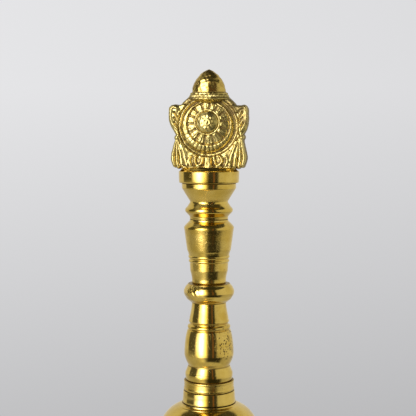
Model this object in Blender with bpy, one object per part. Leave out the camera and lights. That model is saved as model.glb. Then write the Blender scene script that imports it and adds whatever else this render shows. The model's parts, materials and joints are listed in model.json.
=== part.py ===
"""Brass hand bell for puja: a cast wheel finial and a handle of turned sections, clamped by one
long eye bolt to the crown of the bell cup, with a clapper that hangs on a link from the eye.

Metres, +Z up. The mouth's rim rests on z = 0, the axis is Z, and the wheel's front faces -Y.
"""
import math

import bmesh
import bpy
from mathutils import Matrix, Vector

MM = 0.001

# ---- driving dimensions, in millimetres -------------------------------------------------------
CUP_HEIGHT = 56.0          # from the rim to the land that carries the handle
MOUTH_RADIUS = 31.0
CUP_WALL = 2.3
RIM_WIDTH = 2.8            # ground flat of the mouth's rim
DOME_RADIUS = 11.2         # arc of the shoulder, seen in section
DOME_DROP = 10.85          # from the crown land down to the arc's centre
SHOULDER_RADIUS = 16.1     # the cup just under the dome
CROWN_THICKNESS = 3.0

SEAM = 0.15                # face gap between two stacked sections
SHANK_RADIUS = 2.0         # the long eye bolt
BORE_CLEARANCE = 0.15
SPIGOT_RADIUS = 3.4        # register that centres one section on the next
SPIGOT_HEIGHT = 1.2
REGISTER_CLEARANCE = 0.15

COLLAR_HEIGHT = 3.9        # base_collar, the lowest section
FERRULE_LOWER_HEIGHT = 3.3
FERRULE_UPPER_HEIGHT = 4.5
LOWER_BARREL_HEIGHT = 19.9
KNOP_HEIGHT = 6.0
UPPER_BARREL_HEIGHT = 20.0
CAPITAL_HEIGHT = 11.2
BAND_HEIGHT = 4.3          # turned foot of the finial
FINIAL_HEIGHT = 35.0

WHEEL_RADIUS = 10.3
HUB_RADIUS = 3.4
PETALS_START = 4.0         # the petals' inner and outer radius
PETALS_END = 6.4
RIM_END = 8.2              # outer radius of the raised rim round the petals
CHANNEL_END = 8.5
BORDER_END = 9.05          # outer radius of the plain border round the channel
WHEEL_HEIGHT = 17.6        # the rim's centre above the finial's base
HUB_RISE = 1.0             # the hub and petals sit this far above the rim's centre
PETALS = 14
FINIAL_BORE_DEPTH = 6.5

EYE_HEIGHT = 44.0          # the eye's centre above the mouth
EYE_RADIUS = 3.2           # centre line of the eye
EYE_WIRE = 1.2
LINK_WIRE = 0.9
LINK_RADIUS = 2.6          # centre line of the link's round ends
LINK_LENGTH = 7.4          # between the centre lines of its two ends
ROD_WIRE = 1.0
ROD_LOOP_RADIUS = 2.6
ROD_RADIUS = 1.25
HANGING_GAP = 0.2          # between two rings that hang in each other
BOB_RADIUS = 7.5
BOB_HEIGHT = 12.5          # the bob's centre above the mouth
BOB_NECK_TOP = 22.6
NUT_HEIGHT = 3.2
NUT_FLATS = 7.0
WASHER_THICKNESS = 1.0
WASHER_RADIUS = 6.0

HANDLE_SEGMENTS = 24
CUP_SEGMENTS = 32
WIRE_SIDES = 8
ARC_TOLERANCE = 0.10       # how far a facet of a turned arc may lie inside it

BRASS = (0.80, 0.58, 0.17, 1.0)
CAST_BRASS = (0.72, 0.52, 0.16, 1.0)
STEEL = (0.55, 0.54, 0.52, 1.0)


# ---- helpers ----------------------------------------------------------------------------------
def material(name, color, roughness):
    """A metal of one colour."""
    made = bpy.data.materials.get(name)
    if made is None:
        made = bpy.data.materials.new(name)
        made.use_nodes = True
        shader = made.node_tree.nodes["Principled BSDF"]
        shader.inputs["Base Color"].default_value = color
        shader.inputs["Metallic"].default_value = 1.0
        shader.inputs["Roughness"].default_value = roughness
    return made


def arc(start, end, sag):
    """Points after start up to end, on the arc that stands sag proud of the chord's right side."""
    start, end = Vector(start), Vector(end)
    if sag == 0:
        return [end]
    chord = end - start
    right = Vector((chord.y, -chord.x)).normalized()
    radius = (chord.length_squared / 4 + sag * sag) / (2 * abs(sag))
    centre = (start + end) / 2 + right * (sag - math.copysign(radius, sag))
    sweep = math.copysign(4 * math.atan(2 * abs(sag) / chord.length), sag)
    facet = 2 * math.acos(max(0.0, 1 - ARC_TOLERANCE / radius))
    steps = max(1, math.ceil(abs(sweep) / facet))
    return [centre + Matrix.Rotation(sweep * k / steps, 2) @ (start - centre)
            for k in range(1, steps + 1)]


def sag_of(start, end, radius):
    """How far an arc of this radius stands proud of the chord from start to end."""
    half = math.dist(start, end) / 2
    return radius - math.sqrt(radius ** 2 - half ** 2)


def trace(points):
    """An outline in metres from (radius, height) or (radius, height, sag) in millimetres."""
    path = [Vector(points[0][:2])]
    for point in points[1:]:
        sag = point[2] if len(point) == 3 else 0
        path += arc(path[-1], point[:2], sag)
    return [corner * MM for corner in path]


def finish(bm, name, look):
    """The object of one bmesh, closed, with its faces pointing out."""
    bmesh.ops.remove_doubles(bm, verts=bm.verts, dist=1e-7)
    bmesh.ops.recalc_face_normals(bm, faces=bm.faces)
    mesh = bpy.data.meshes.new(name)
    bm.to_mesh(mesh)
    bm.free()
    made = bpy.data.objects.new(name, mesh)
    mesh.materials.append(look)
    bpy.context.collection.objects.link(made)
    mesh.shade_smooth()
    mesh.set_sharp_from_angle(angle=math.radians(35))
    return made


def turned(name, points, segments, look, base=0.0):
    """A body turned about Z from a closed outline, standing at base millimetres."""
    bm = bmesh.new()
    corners = [bm.verts.new((p.x, 0, p.y + base * MM)) for p in trace(points)]
    edges = [bm.edges.new(pair) for pair in zip(corners, corners[1:])]
    if corners[0].co.x > 0:
        edges.append(bm.edges.new((corners[-1], corners[0])))
    bmesh.ops.spin(bm, geom=corners + edges, cent=(0, 0, 0), axis=(0, 0, 1),
                   angle=math.tau, steps=segments, use_merge=True)
    return finish(bm, name, look)


def swept(name, path, across, deep, normal, sides, look, cyclic=False):
    """An oval section carried along a flat path; across and deep give its half sizes there."""
    bm = bmesh.new()
    normal = Vector(normal)
    rings = []
    for k, point in enumerate(path):
        before = path[k - 1] if k or cyclic else point
        after = path[(k + 1) % len(path)] if cyclic or k + 1 < len(path) else point
        side = (Vector(after) - Vector(before)).normalized().cross(normal)
        turns = [math.tau * s / sides for s in range(sides)]
        rings.append([bm.verts.new((Vector(point) + side * across[k] * math.cos(a)
                                    + normal * deep[k] * math.sin(a)) * MM) for a in turns])
    pairs = list(zip(rings, rings[1:]))
    if cyclic:
        pairs.append((rings[-1], rings[0]))
    for low, high in pairs:
        for s in range(sides):
            t = (s + 1) % sides
            bm.faces.new((low[s], low[t], high[t], high[s]))
    if not cyclic:
        bm.faces.new(rings[0])
        bm.faces.new(rings[-1])
    return finish(bm, name, look)


def ball(name, centre, size, tilt, look, steps=10):
    """An ellipsoid, tilted about Y; centre and half sizes in millimetres."""
    bm = bmesh.new()
    place = (Matrix.Translation(Vector(centre) * MM) @ Matrix.Rotation(tilt, 4, "Y")
             @ Matrix.Diagonal(Vector(size) * MM).to_4x4())
    bmesh.ops.create_uvsphere(bm, u_segments=steps, v_segments=steps // 2 + 2, radius=1,
                              matrix=place)
    return finish(bm, name, look)


def block(name, low, high, look):
    """A box between two corners in millimetres."""
    bm = bmesh.new()
    low, high = Vector(low) * MM, Vector(high) * MM
    place = Matrix.Translation((low + high) / 2) @ Matrix.Diagonal(high - low).to_4x4()
    bmesh.ops.create_cube(bm, size=1, matrix=place)
    return finish(bm, name, look)


def combine(base, tools, operation):
    """Apply one exact Boolean of base with each tool in turn, and drop the tools."""
    for tool in tools:
        change = base.modifiers.new(operation, "BOOLEAN")
        change.operation = operation
        change.solver = "EXACT"
        change.object = tool
        bpy.context.view_layer.update()
        result = bpy.data.meshes.new_from_object(
            base.evaluated_get(bpy.context.evaluated_depsgraph_get()))
        base.modifiers.remove(change)
        old = base.data
        base.data = result
        bpy.data.meshes.remove(old)
        bpy.data.objects.remove(tool)
    base.data.name = base.name
    base.data.shade_smooth()
    base.data.set_sharp_from_angle(angle=math.radians(35))
    return base


# ---- handle sections --------------------------------------------------------------------------
def bored(outer, height):
    """Close a section's outer side with its bore, a recess below and a spigot on top."""
    bore = SHANK_RADIUS + BORE_CLEARANCE
    recess = SPIGOT_RADIUS + REGISTER_CLEARANCE
    top = height - SEAM
    return outer + [(SPIGOT_RADIUS, top), (SPIGOT_RADIUS, top + SPIGOT_HEIGHT),
                    (bore, top + SPIGOT_HEIGHT), (bore, SPIGOT_HEIGHT + REGISTER_CLEARANCE),
                    (recess, SPIGOT_HEIGHT + REGISTER_CLEARANCE), (recess, 0)]


def base_collar(base, look):
    top = COLLAR_HEIGHT - SEAM
    outer = [(8.15, 0), (8.25, 0.3), (8.0, 2.0, -0.06), (7.9, top - 0.3), (7.65, top)]
    return turned("base_collar", bored(outer, COLLAR_HEIGHT), HANDLE_SEGMENTS, look, base)


def ferrule_lower(base, look):
    top = FERRULE_LOWER_HEIGHT - SEAM
    outer = [(7.4, 0), (7.7, 0.25), (7.64, 1.6), (7.7, top - 0.25), (7.45, top)]
    return turned("ferrule_lower", bored(outer, FERRULE_LOWER_HEIGHT), HANDLE_SEGMENTS, look,
                  base)


def ferrule_upper(base, look):
    top = FERRULE_UPPER_HEIGHT - SEAM
    outer = [(7.2, 0), (7.45, 0.25), (7.55, 1.3), (7.4, 3.2, 0.08), (6.6, top, -0.15)]
    return turned("ferrule_upper", bored(outer, FERRULE_UPPER_HEIGHT), HANDLE_SEGMENTS, look,
                  base)


def lower_barrel(base, look):
    """Vase shape with three fine beads under a tapered neck."""
    top = LOWER_BARREL_HEIGHT - SEAM
    outer = [(6.5, 0), (6.75, 0.9, -0.05), (7.72, 3.2, -0.2), (7.72, 4.4, 0.1),
             (6.7, 11.3, 0.3), (6.5, 11.5), (6.5, 11.9), (6.5, 12.7, 0.2), (6.2, 13.0),
             (6.05, 13.6, -0.06), (6.23, 14.0), (6.15, 15.0, 0.12), (5.95, 15.1),
             (5.3, 18.9, -0.05), (5.3, top)]
    return turned("lower_barrel", bored(outer, LOWER_BARREL_HEIGHT), HANDLE_SEGMENTS, look,
                  base)


def knop(base, look):
    """Squat ring between the two barrels, wider above its foot than at its top."""
    top = KNOP_HEIGHT - SEAM
    outer = [(5.6, 0), (7.1, 1.2, 0.2), (7.93, 3.1, 0.25), (6.5, top - 0.1, 0.45), (6.3, top)]
    return turned("knop", bored(outer, KNOP_HEIGHT), HANDLE_SEGMENTS, look, base)


def upper_barrel(base, look):
    """Tapered barrel with a flared head and two fine beads."""
    top = UPPER_BARREL_HEIGHT - SEAM
    outer = [(5.3, 0), (5.3, 1.6), (5.9, 4.2, -0.1), (6.0, 6.0), (6.25, 6.3),
             (6.2, 6.8, 0.1), (6.0, 7.0), (6.2, 7.4), (6.25, 7.9, 0.1), (6.2, 8.6, -0.04),
             (6.7, 10.0, -0.05), (7.5, 15.6, 0.05), (7.76, 16.3), (7.7, 17.5, 0.05),
             (6.3, 19.3, -0.2), (5.8, top)]
    return turned("upper_barrel", bored(outer, UPPER_BARREL_HEIGHT), HANDLE_SEGMENTS, look,
                  base)


def capital(base, look):
    """Neck, ring bead and a cone that opens to a short cylinder under the finial."""
    top = CAPITAL_HEIGHT - SEAM
    outer = [(5.7, 0), (5.75, 0.9), (6.3, 1.4, -0.08), (7.0, 1.9), (7.5, 3.0, 0.18),
             (6.9, 4.0, 0.18), (6.2, 4.7, -0.1), (5.9, 5.2), (5.9, 5.7), (8.3, 9.3),
             (8.4, 9.7), (8.4, top)]
    return turned("capital", bored(outer, CAPITAL_HEIGHT), HANDLE_SEGMENTS, look, base)


# ---- finial -----------------------------------------------------------------------------------
def wheel_half_depth(radius, angle):
    """Relief of the wheel: hub, petals, rim, channel and border, as half its depth."""
    if radius < HUB_RADIUS:
        return 4.7 - 1.3 * (radius / HUB_RADIUS) ** 2
    if radius < PETALS_START:
        return 3.5
    if radius < PETALS_END:
        along = (radius - PETALS_START) / (PETALS_END - PETALS_START)
        across = abs(math.sin(PETALS * angle / 2))
        return 3.0 + 0.5 * across * math.sin(math.pi * along) ** 0.5
    if radius < RIM_END:
        return 3.6 + 0.25 * math.sin(math.pi * (radius - PETALS_END) / (RIM_END - PETALS_END))
    if radius < CHANNEL_END:
        return 3.1
    if radius < BORDER_END:
        return 3.6
    fall = (radius - BORDER_END) / (WHEEL_RADIUS - BORDER_END)
    return 3.2 * math.sqrt(max(0.0, 1 - fall ** 2))


def wheel_centre(radius):
    """Height of the centre of the wheel's circle of this radius."""
    inward = (RIM_END - radius) / (RIM_END - PETALS_END)
    return WHEEL_HEIGHT + HUB_RISE * min(1, max(0, inward))


def wheel(look):
    """The wheel as rings of points about its Y axis, the same relief front and back."""
    radii = [2.2, 3.38, 3.95, 4.2, 5.2, 6.2, 6.6, 8.0, 8.25, 8.55, 9.0, 9.6, 10.1]
    spokes = 3 * PETALS
    bm = bmesh.new()

    def ring(radius, front):
        made = []
        for k in range(spokes):
            angle = math.tau * k / spokes
            depth = front * wheel_half_depth(radius, angle)
            height = wheel_centre(radius) + radius * math.cos(angle)
            made.append(bm.verts.new((radius * math.sin(angle) * MM, depth * MM, height * MM)))
        return made

    edge = ring(WHEEL_RADIUS, 1)
    for front in (-1, 1):
        centre = bm.verts.new((0, front * wheel_half_depth(0, 0) * MM, wheel_centre(0) * MM))
        rings = [ring(radius, front) for radius in radii] + [edge]
        for k in range(spokes):
            n = (k + 1) % spokes
            bm.faces.new((centre, rings[0][k], rings[0][n]))
            for inner, outer in zip(rings, rings[1:]):
                bm.faces.new((inner[k], outer[k], outer[n], inner[n]))
    return finish(bm, "wheel", look)


def crown(look):
    """Pointed dome on a flared collar, a little flat from front to back."""
    made = turned("crown", [(0, 22.0), (6.2, 23.5), (6.5, 25.5), (6.5, 25.9), (5.9, 26.1),
                            (5.9, 26.9, 0.15), (5.5, 27.1), (5.5, 27.6), (5.1, 27.9),
                            (5.1, 29.0), (0, FINIAL_HEIGHT, 1.05)], 24, look)
    made.data.transform(Matrix.Diagonal((1, 0.8, 1, 1)))
    return made


def ribbon(side, name, look, foot_x, foot_z, belly):
    """One strand of the ribbons that fall from the knot beside the wheel to the band."""
    knot = Vector((side * 9.7, 0, 14.0))
    foot = Vector((side * foot_x, 0, foot_z))
    middle = (knot + foot) / 2 + Vector((side * belly, 0, 0))
    path, across, deep = [], [], []
    for k in range(6):
        t = k / 5
        path.append(knot * (1 - t) ** 2 + middle * 2 * t * (1 - t) + foot * t * t)
        swell = math.sin(math.pi * (0.16 + 0.68 * t)) ** 0.6
        across.append(0.9 * swell)
        deep.append(1.6 + 1.9 * t)
    return swept(name, path, across, deep, (0, 1, 0), 6, look)


def finial(base, look):
    """Cast head: wheel, crown, side flames and ribbons, on a turned band with a blind bore."""
    head = turned("finial", [(0, 0), (9.0, 0), (9.3, 0.3), (9.28, BAND_HEIGHT - 0.2),
                             (9.1, BAND_HEIGHT), (8.4, 4.7, -0.1), (7.4, 5.4), (0, 5.6)],
                  HANDLE_SEGMENTS, look)
    tools = [wheel(look), crown(look),
             block("plate", (-8.4, -2.7, 4.0), (8.4, 2.7, 14.0), look),
             block("foot", (-1.4, -4.1, 4.2), (1.4, 4.1, 9.4), look)]
    for side in (-1, 1):
        tools.append(ball("flame", (side * 10.6, 0, 20.9), (2.0, 2.5, 3.4), side * 0.15, look))
        tools.append(ball("leaf", (side * 10.1, 0, 17.3), (1.5, 2.3, 2.9), side * 0.1, look))
        tools.append(ball("scroll", (side * 2.9, 0, 7.3), (1.2, 3.9, 2.3), side * 0.3, look))
        for foot_x, foot_z, belly in ((10.9, 4.8, 0.9), (9.4, 4.5, 0.5), (7.8, 4.6, 0.0),
                                      (6.3, 5.4, -0.6)):
            tools.append(ribbon(side, "ribbon", look, foot_x, foot_z, belly))
    combine(head, tools, "UNION")
    recess = SPIGOT_RADIUS + REGISTER_CLEARANCE
    shoulder = SPIGOT_HEIGHT + REGISTER_CLEARANCE
    bore = SHANK_RADIUS + BORE_CLEARANCE
    cutter = turned("bore", [(0, -1), (recess, -1), (recess, shoulder), (bore, shoulder),
                             (bore, FINIAL_BORE_DEPTH), (0, FINIAL_BORE_DEPTH)], 24, look)
    combine(head, [cutter], "DIFFERENCE")
    head.data.transform(Matrix.Translation((0, 0, base * MM)))
    return head


# ---- bell cup ---------------------------------------------------------------------------------
def bell_cup(look):
    """Flared bell with a domed crown, turned bands and a ground rim."""
    bore = SHANK_RADIUS + BORE_CLEARANCE
    dome_centre = SHOULDER_RADIUS - DOME_RADIUS
    dome_base = CUP_HEIGHT - DOME_DROP
    land = 9.3
    dome_top = dome_base + math.sqrt(DOME_RADIUS ** 2 - (land - dome_centre) ** 2)
    dome_sag = sag_of((SHOULDER_RADIUS, dome_base), (land, dome_top), DOME_RADIUS)
    ceiling = CUP_HEIGHT - CROWN_THICKNESS
    outer = [(MOUTH_RADIUS - 0.5, 0), (MOUTH_RADIUS, 0.6), (MOUTH_RADIUS, 2.0),
             (30.1, 2.9, 0.2), (29.3, 3.1), (26.6, 6.6, -0.25), (26.6, 7.0), (26.4, 8.6, 0.4),
             (25.4, 9.1), (20.6, 17.6, -0.45), (20.7, 18.0), (20.3, 19.2, 0.25),
             (19.6, 19.5), (16.6, 34.0, -0.7), (16.5, 40.2), (16.9, 40.8), (16.9, 42.6, 0.35),
             (16.2, 43.3), (SHOULDER_RADIUS, dome_base), (land, dome_top, dome_sag),
             (9.0, dome_top + 0.45), (8.6, CUP_HEIGHT - SEAM)]
    crown_side = [(SPIGOT_RADIUS, CUP_HEIGHT - SEAM),
                  (SPIGOT_RADIUS, CUP_HEIGHT - SEAM + SPIGOT_HEIGHT),
                  (bore, CUP_HEIGHT - SEAM + SPIGOT_HEIGHT), (bore, ceiling)]
    inner = [(6.8, ceiling), (SHOULDER_RADIUS - CUP_WALL, dome_base - 0.5, -2.3),
             (16.6 - CUP_WALL, 34.0), (20.6 - CUP_WALL, 17.6, 0.9),
             (26.6 - CUP_WALL, 6.6, 0.4), (MOUTH_RADIUS - 0.5 - RIM_WIDTH, 0, 0.2)]
    return turned("bell_cup", outer + crown_side + inner, CUP_SEGMENTS, look)


# ---- bolt, washer and nut ---------------------------------------------------------------------
def ring_path(radius, height, steps=24):
    """A circle about (0, 0, height) in the XZ plane."""
    turns = [math.tau * k / steps for k in range(steps)]
    return [(radius * math.cos(a), 0, height + radius * math.sin(a)) for a in turns]


def constant(value, path):
    return [value] * len(path)


def eye_bolt(finial_base, look):
    """Long bolt from the finial's bore down to an eye inside the cup."""
    low = EYE_HEIGHT + EYE_RADIUS
    top = finial_base + FINIAL_BORE_DEPTH - 0.5
    shank = turned("eye_bolt", [(0, low), (SHANK_RADIUS - 0.3, low),
                                (SHANK_RADIUS, low + 0.6), (SHANK_RADIUS, top - 0.4),
                                (SHANK_RADIUS - 0.4, top), (0, top)], 20, look)
    path = ring_path(EYE_RADIUS, EYE_HEIGHT)
    eye = swept("eye", path, constant(EYE_WIRE, path), constant(EYE_WIRE, path), (0, 1, 0),
                WIRE_SIDES, look, cyclic=True)
    return combine(shank, [eye], "UNION")


def crown_washer(look):
    top = CUP_HEIGHT - CROWN_THICKNESS - SEAM
    low = top - WASHER_THICKNESS
    bore = SHANK_RADIUS + BORE_CLEARANCE
    return turned("crown_washer", [(WASHER_RADIUS - 0.2, low), (WASHER_RADIUS, low + 0.2),
                                   (WASHER_RADIUS, top), (bore, top), (bore, low)],
                  HANDLE_SEGMENTS, look)


def lock_nut(look):
    """Hexagon nut with both ends chamfered."""
    top = CUP_HEIGHT - CROWN_THICKNESS - WASHER_THICKNESS - 2 * SEAM
    low = top - NUT_HEIGHT
    corner = NUT_FLATS / 2 / math.cos(math.pi / 6)
    bore = SHANK_RADIUS + BORE_CLEARANCE
    nut = turned("lock_nut", [(0, low), (corner, low), (corner, top), (0, top)], 6, look)
    chamfer = turned("chamfer", [(0, low - 0.1), (corner - 0.6, low - 0.1),
                                 (corner + 0.1, low + 0.5), (corner + 0.1, top - 0.5),
                                 (corner - 0.6, top + 0.1), (0, top + 0.1)], 24, look)
    hole = turned("hole", [(0, low - 1), (bore, low - 1), (bore, top + 1), (0, top + 1)], 20,
                  look)
    combine(nut, [chamfer], "INTERSECT")
    return combine(nut, [hole], "DIFFERENCE")


# ---- clapper ----------------------------------------------------------------------------------
LINK_TOP = EYE_HEIGHT - EYE_RADIUS + EYE_WIRE + LINK_WIRE + HANGING_GAP
LINK_BOTTOM = LINK_TOP - LINK_LENGTH
ROD_LOOP_HEIGHT = LINK_BOTTOM + LINK_WIRE + ROD_WIRE + HANGING_GAP - ROD_LOOP_RADIUS


def clapper_link(look):
    """Oval link in the YZ plane, hung in the bolt's eye."""
    path = []
    steps = 10
    for centre, turn in ((LINK_TOP - LINK_RADIUS, 0), (LINK_BOTTOM + LINK_RADIUS, math.pi)):
        for k in range(steps + 1):
            angle = turn + math.pi * k / steps
            path.append((0, LINK_RADIUS * math.cos(angle),
                         centre + LINK_RADIUS * math.sin(angle)))
    return swept("clapper_link", path, constant(LINK_WIRE, path), constant(LINK_WIRE, path),
                 (1, 0, 0), WIRE_SIDES, look, cyclic=True)


def clapper_rod(look):
    """Wire rod with a loop in the XZ plane at its head."""
    top = ROD_LOOP_HEIGHT - ROD_LOOP_RADIUS
    end = BOB_HEIGHT - 2.0
    rod = turned("clapper_rod", [(0, end), (ROD_RADIUS - 0.2, end), (ROD_RADIUS, end + 0.3),
                                 (ROD_RADIUS, top - 0.4), (ROD_RADIUS - 0.3, top),
                                 (0, top)], 16, look)
    path = ring_path(ROD_LOOP_RADIUS, ROD_LOOP_HEIGHT, 20)
    loop = swept("loop", path, constant(ROD_WIRE, path), constant(ROD_WIRE, path), (0, 1, 0),
                 WIRE_SIDES, look, cyclic=True)
    return combine(rod, [loop], "UNION")


def clapper_bob(look):
    """Turned ball with a neck, bored from the top for the rod, and a nib below."""
    bore = ROD_RADIUS + 0.1
    floor = BOB_HEIGHT - 2.3
    neck = 2.6
    rise = math.sqrt(BOB_RADIUS ** 2 - neck ** 2)
    low = BOB_HEIGHT - BOB_RADIUS
    nib = (1.5, low + 0.15)
    waist = (BOB_RADIUS, BOB_HEIGHT)
    shoulder = (neck, BOB_HEIGHT + rise)
    outline = [(0, low - 0.4), nib + (0.2,), waist + (sag_of(nib, waist, BOB_RADIUS),),
               shoulder + (sag_of(waist, shoulder, BOB_RADIUS),),
               (2.5, BOB_NECK_TOP - 1.0, -0.15), (2.9, BOB_NECK_TOP - 0.6),
               (2.6, BOB_NECK_TOP), (bore, BOB_NECK_TOP), (bore, floor), (0, floor)]
    return turned("clapper_bob", outline, 24, look)


# ---- assembly ---------------------------------------------------------------------------------
def main():
    for old in list(bpy.data.objects):
        bpy.data.objects.remove(old)
    brass = material("turned_brass", BRASS, 0.22)
    cast = material("cast_brass", CAST_BRASS, 0.38)
    steel = material("steel", STEEL, 0.35)

    base = CUP_HEIGHT
    for make, height in ((base_collar, COLLAR_HEIGHT), (ferrule_lower, FERRULE_LOWER_HEIGHT),
                         (ferrule_upper, FERRULE_UPPER_HEIGHT),
                         (lower_barrel, LOWER_BARREL_HEIGHT), (knop, KNOP_HEIGHT),
                         (upper_barrel, UPPER_BARREL_HEIGHT), (capital, CAPITAL_HEIGHT)):
        make(base, brass)
        base += height
    finial(base, cast)
    bell_cup(brass)
    eye_bolt(base, steel)
    crown_washer(steel)
    lock_nut(steel)
    clapper_link(steel)
    clapper_rod(steel)
    clapper_bob(brass)


main()
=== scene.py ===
"""Brass hand bell for puja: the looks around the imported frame.

Lengths in this file are in millimetres unless a name ends in _m; MM turns them into metres.
Each turned section is a fine lathe body, the rings are bent wire, and the cast head of the
finial and the nut are surfaces of implicit fields. All of them stand where the CAD nodes stand.
"""
import functools
import json
import math

import bpy
import numpy as np
from mathutils import Matrix, Vector


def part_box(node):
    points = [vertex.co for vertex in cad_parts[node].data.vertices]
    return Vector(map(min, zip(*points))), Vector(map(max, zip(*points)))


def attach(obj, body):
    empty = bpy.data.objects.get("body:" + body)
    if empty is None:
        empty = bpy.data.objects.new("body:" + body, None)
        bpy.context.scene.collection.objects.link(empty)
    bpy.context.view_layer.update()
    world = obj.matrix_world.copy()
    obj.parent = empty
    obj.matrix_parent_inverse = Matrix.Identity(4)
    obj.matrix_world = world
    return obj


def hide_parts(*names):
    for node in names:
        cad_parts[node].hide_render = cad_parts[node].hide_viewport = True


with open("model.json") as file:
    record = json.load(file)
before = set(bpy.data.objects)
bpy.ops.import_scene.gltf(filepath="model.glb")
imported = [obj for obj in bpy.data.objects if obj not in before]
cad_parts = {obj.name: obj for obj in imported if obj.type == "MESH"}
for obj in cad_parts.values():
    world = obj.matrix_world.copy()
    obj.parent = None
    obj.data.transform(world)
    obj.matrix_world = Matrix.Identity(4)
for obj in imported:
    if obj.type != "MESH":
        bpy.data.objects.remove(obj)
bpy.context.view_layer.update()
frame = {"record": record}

MM = 0.001


def heights(node):
    """Heights of a CAD node's lowest and highest points."""
    return [corner.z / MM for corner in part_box(node)]


# ---- places taken from the frame
STACK = ("base_collar", "ferrule_lower", "ferrule_upper", "lower_barrel", "knop",
         "upper_barrel", "capital", "finial")
BASE = {node: heights(node)[0] for node in STACK}
CROWN_Z = BASE["base_collar"]  # the land of the cup that carries the handle
FINIAL_Z = BASE["finial"]
MOUTH_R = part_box("bell_cup")[1].x / MM
JOINT_Z = {joint["name"]: joint["pos_m"][2] / MM
           for joint in frame["record"]["behaviour"]["joints"]}
EYE_WIRE_Z = JOINT_Z["link_swing"]  # centre of the eye's lowest stretch of wire
LINK_FOOT_Z = JOINT_Z["clapper_swing"]  # centre of the link's lowest stretch of wire

# ---- sizes
SEAM = 0.10  # face gap between two stacked sections
BORE_R = 2.15
SPIGOT_R, SPIGOT_RISE = 3.4, 1.2  # register on top of each section
RECESS_R, RECESS_RISE = 3.55, 1.35  # and the recess that takes it
SHANK_R = 2.0
SHANK_TOP = 6.0  # top of the shank above the finial's base
HOLE_TOP = 6.5  # and top of the hole that takes it
CROWN_THICK = 3.0  # of the cup under the handle
WAIST_R = 16.1  # of the cup, where its shoulder starts
SHOULDER_DROP = 10.85  # from the crown down to that start
DOME_R = 11.2  # arc of the shoulder
EYE_R, EYE_WIRE_R = 3.2, 1.2
LINK_R, LINK_WIRE_R = 2.6, 0.9
LOOP_R, ROD_WIRE_R, ROD_R = 2.6, 1.0, 1.25
RING_GAP = 0.2  # between two rings that hang in each other
EYE_Z = EYE_WIRE_Z + EYE_R
EYE_TOP = EYE_Z + EYE_R
BOB_R, BOB_FOOT, BOB_NECK_R = 7.5, 0.4, 2.6  # the foot stands out below the ball
BOB_Z = heights("clapper_bob")[0] + BOB_R + BOB_FOOT
BOB_BORE_R, BOB_BORE_DROP = 1.35, 2.3  # hole for the rod, and its end below the centre
NUT_HALF_FLATS, NUT_CHAMFER_R = 3.5, 3.75
CREASE = 40  # degrees from which an edge stays sharp
TURNED_SEGMENTS = 256
CELL = 0.11  # grid step of the finial's field
NUT_CELL = 0.12


# ---- turned bodies
def arc(start, end, sag, tolerance):
    """Points after start up to end, on the arc that stands sag proud of the chord's right side."""
    if sag == 0:
        return [end]
    chord = end - start
    right = Vector((chord.y, -chord.x)).normalized()
    radius = (chord.length_squared / 4 + sag * sag) / (2 * abs(sag))
    centre = (start + end) / 2 + right * (sag - math.copysign(radius, sag))
    sweep = math.copysign(4 * math.atan(2 * abs(sag) / chord.length), sag)
    facet = 2 * math.acos(max(0.0, 1 - tolerance / radius))
    steps = max(2, math.ceil(abs(sweep) / facet))
    return [centre + Matrix.Rotation(sweep * k / steps, 2) @ (start - centre)
            for k in range(1, steps + 1)]


def trace(points, tolerance=0.004, longest=0.5):
    """An outline from (radius, height) or (radius, height, sag), with no step over longest."""
    path = [Vector(points[0][:2])]
    for point in points[1:]:
        sag = point[2] if len(point) == 3 else 0
        for corner in arc(path[-1], Vector(point[:2]), sag, tolerance):
            steps = max(1, math.ceil((corner - path[-1]).length / longest))
            start = path[-1]
            path += [start.lerp(corner, k / steps) for k in range(1, steps + 1)]
    return np.array([(p.x, p.y) for p in path])


def hand_ripple(angle, height, seed, size):
    """Slight waviness that buffing by hand leaves on a turned surface."""
    rng = np.random.default_rng(seed)
    total = np.zeros(np.broadcast(angle, height).shape)
    for lobes in (2, 3, 5, 7, 11):
        pitch = rng.uniform(0.15, 0.8)
        phase = rng.uniform(0, math.tau, 2)
        total += np.cos(lobes * angle + phase[0] + np.sin(height * pitch + phase[1])) / lobes
    return total * size


def mesh_object(name, verts, faces, look, crease=CREASE):
    """An object from vertices in millimetres and faces, shaded smooth."""
    mesh = bpy.data.meshes.new(name)
    mesh.from_pydata((np.asarray(verts) * MM).tolist(), [], faces)
    mesh.validate()
    mesh.materials.append(look)
    made = bpy.data.objects.new(name, mesh)
    bpy.context.collection.objects.link(made)
    mesh.shade_smooth()
    if crease:
        mesh.set_sharp_from_angle(angle=math.radians(crease))
    return made


def turned(name, points, look, base=0.0, ripple=0.006, seed=1, segments=TURNED_SEGMENTS,
           crease=CREASE):
    """A body turned about Z from a closed outline, or from one that starts and ends on Z."""
    closed = points[0][0] > 0
    outline = trace(points + points[:1])[:-1] if closed else trace(points)
    angle = np.arange(segments) * math.tau / segments
    radius, height = outline[:, :1], outline[:, 1:]
    wave = hand_ripple(angle[None, :], height, seed, ripple)
    radius = np.where(radius > BORE_R + 0.5, radius - ripple * 2 + wave, radius)
    verts = np.stack([radius * np.cos(angle), radius * np.sin(angle),
                      np.broadcast_to(height, radius.shape)], axis=2)
    verts[..., 2] += base
    count = len(outline)
    index = np.arange(count * segments).reshape(count, segments)
    faces = []
    rows = list(range(count)) + [0] * closed
    for row, above in zip(rows, rows[1:]):
        here, there = index[row], index[above]
        right, over = np.roll(here, -1), np.roll(there, -1)
        if outline[row][0] == 0:
            corners = [np.full(segments, here[0]), over, there]
        elif outline[above][0] == 0:
            corners = [here, right, np.full(segments, there[0])]
        else:
            corners = [here, right, over, there]
        faces += np.stack(corners, 1).tolist()
    return mesh_object(name, verts.reshape(-1, 3), faces, look, crease)


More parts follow.
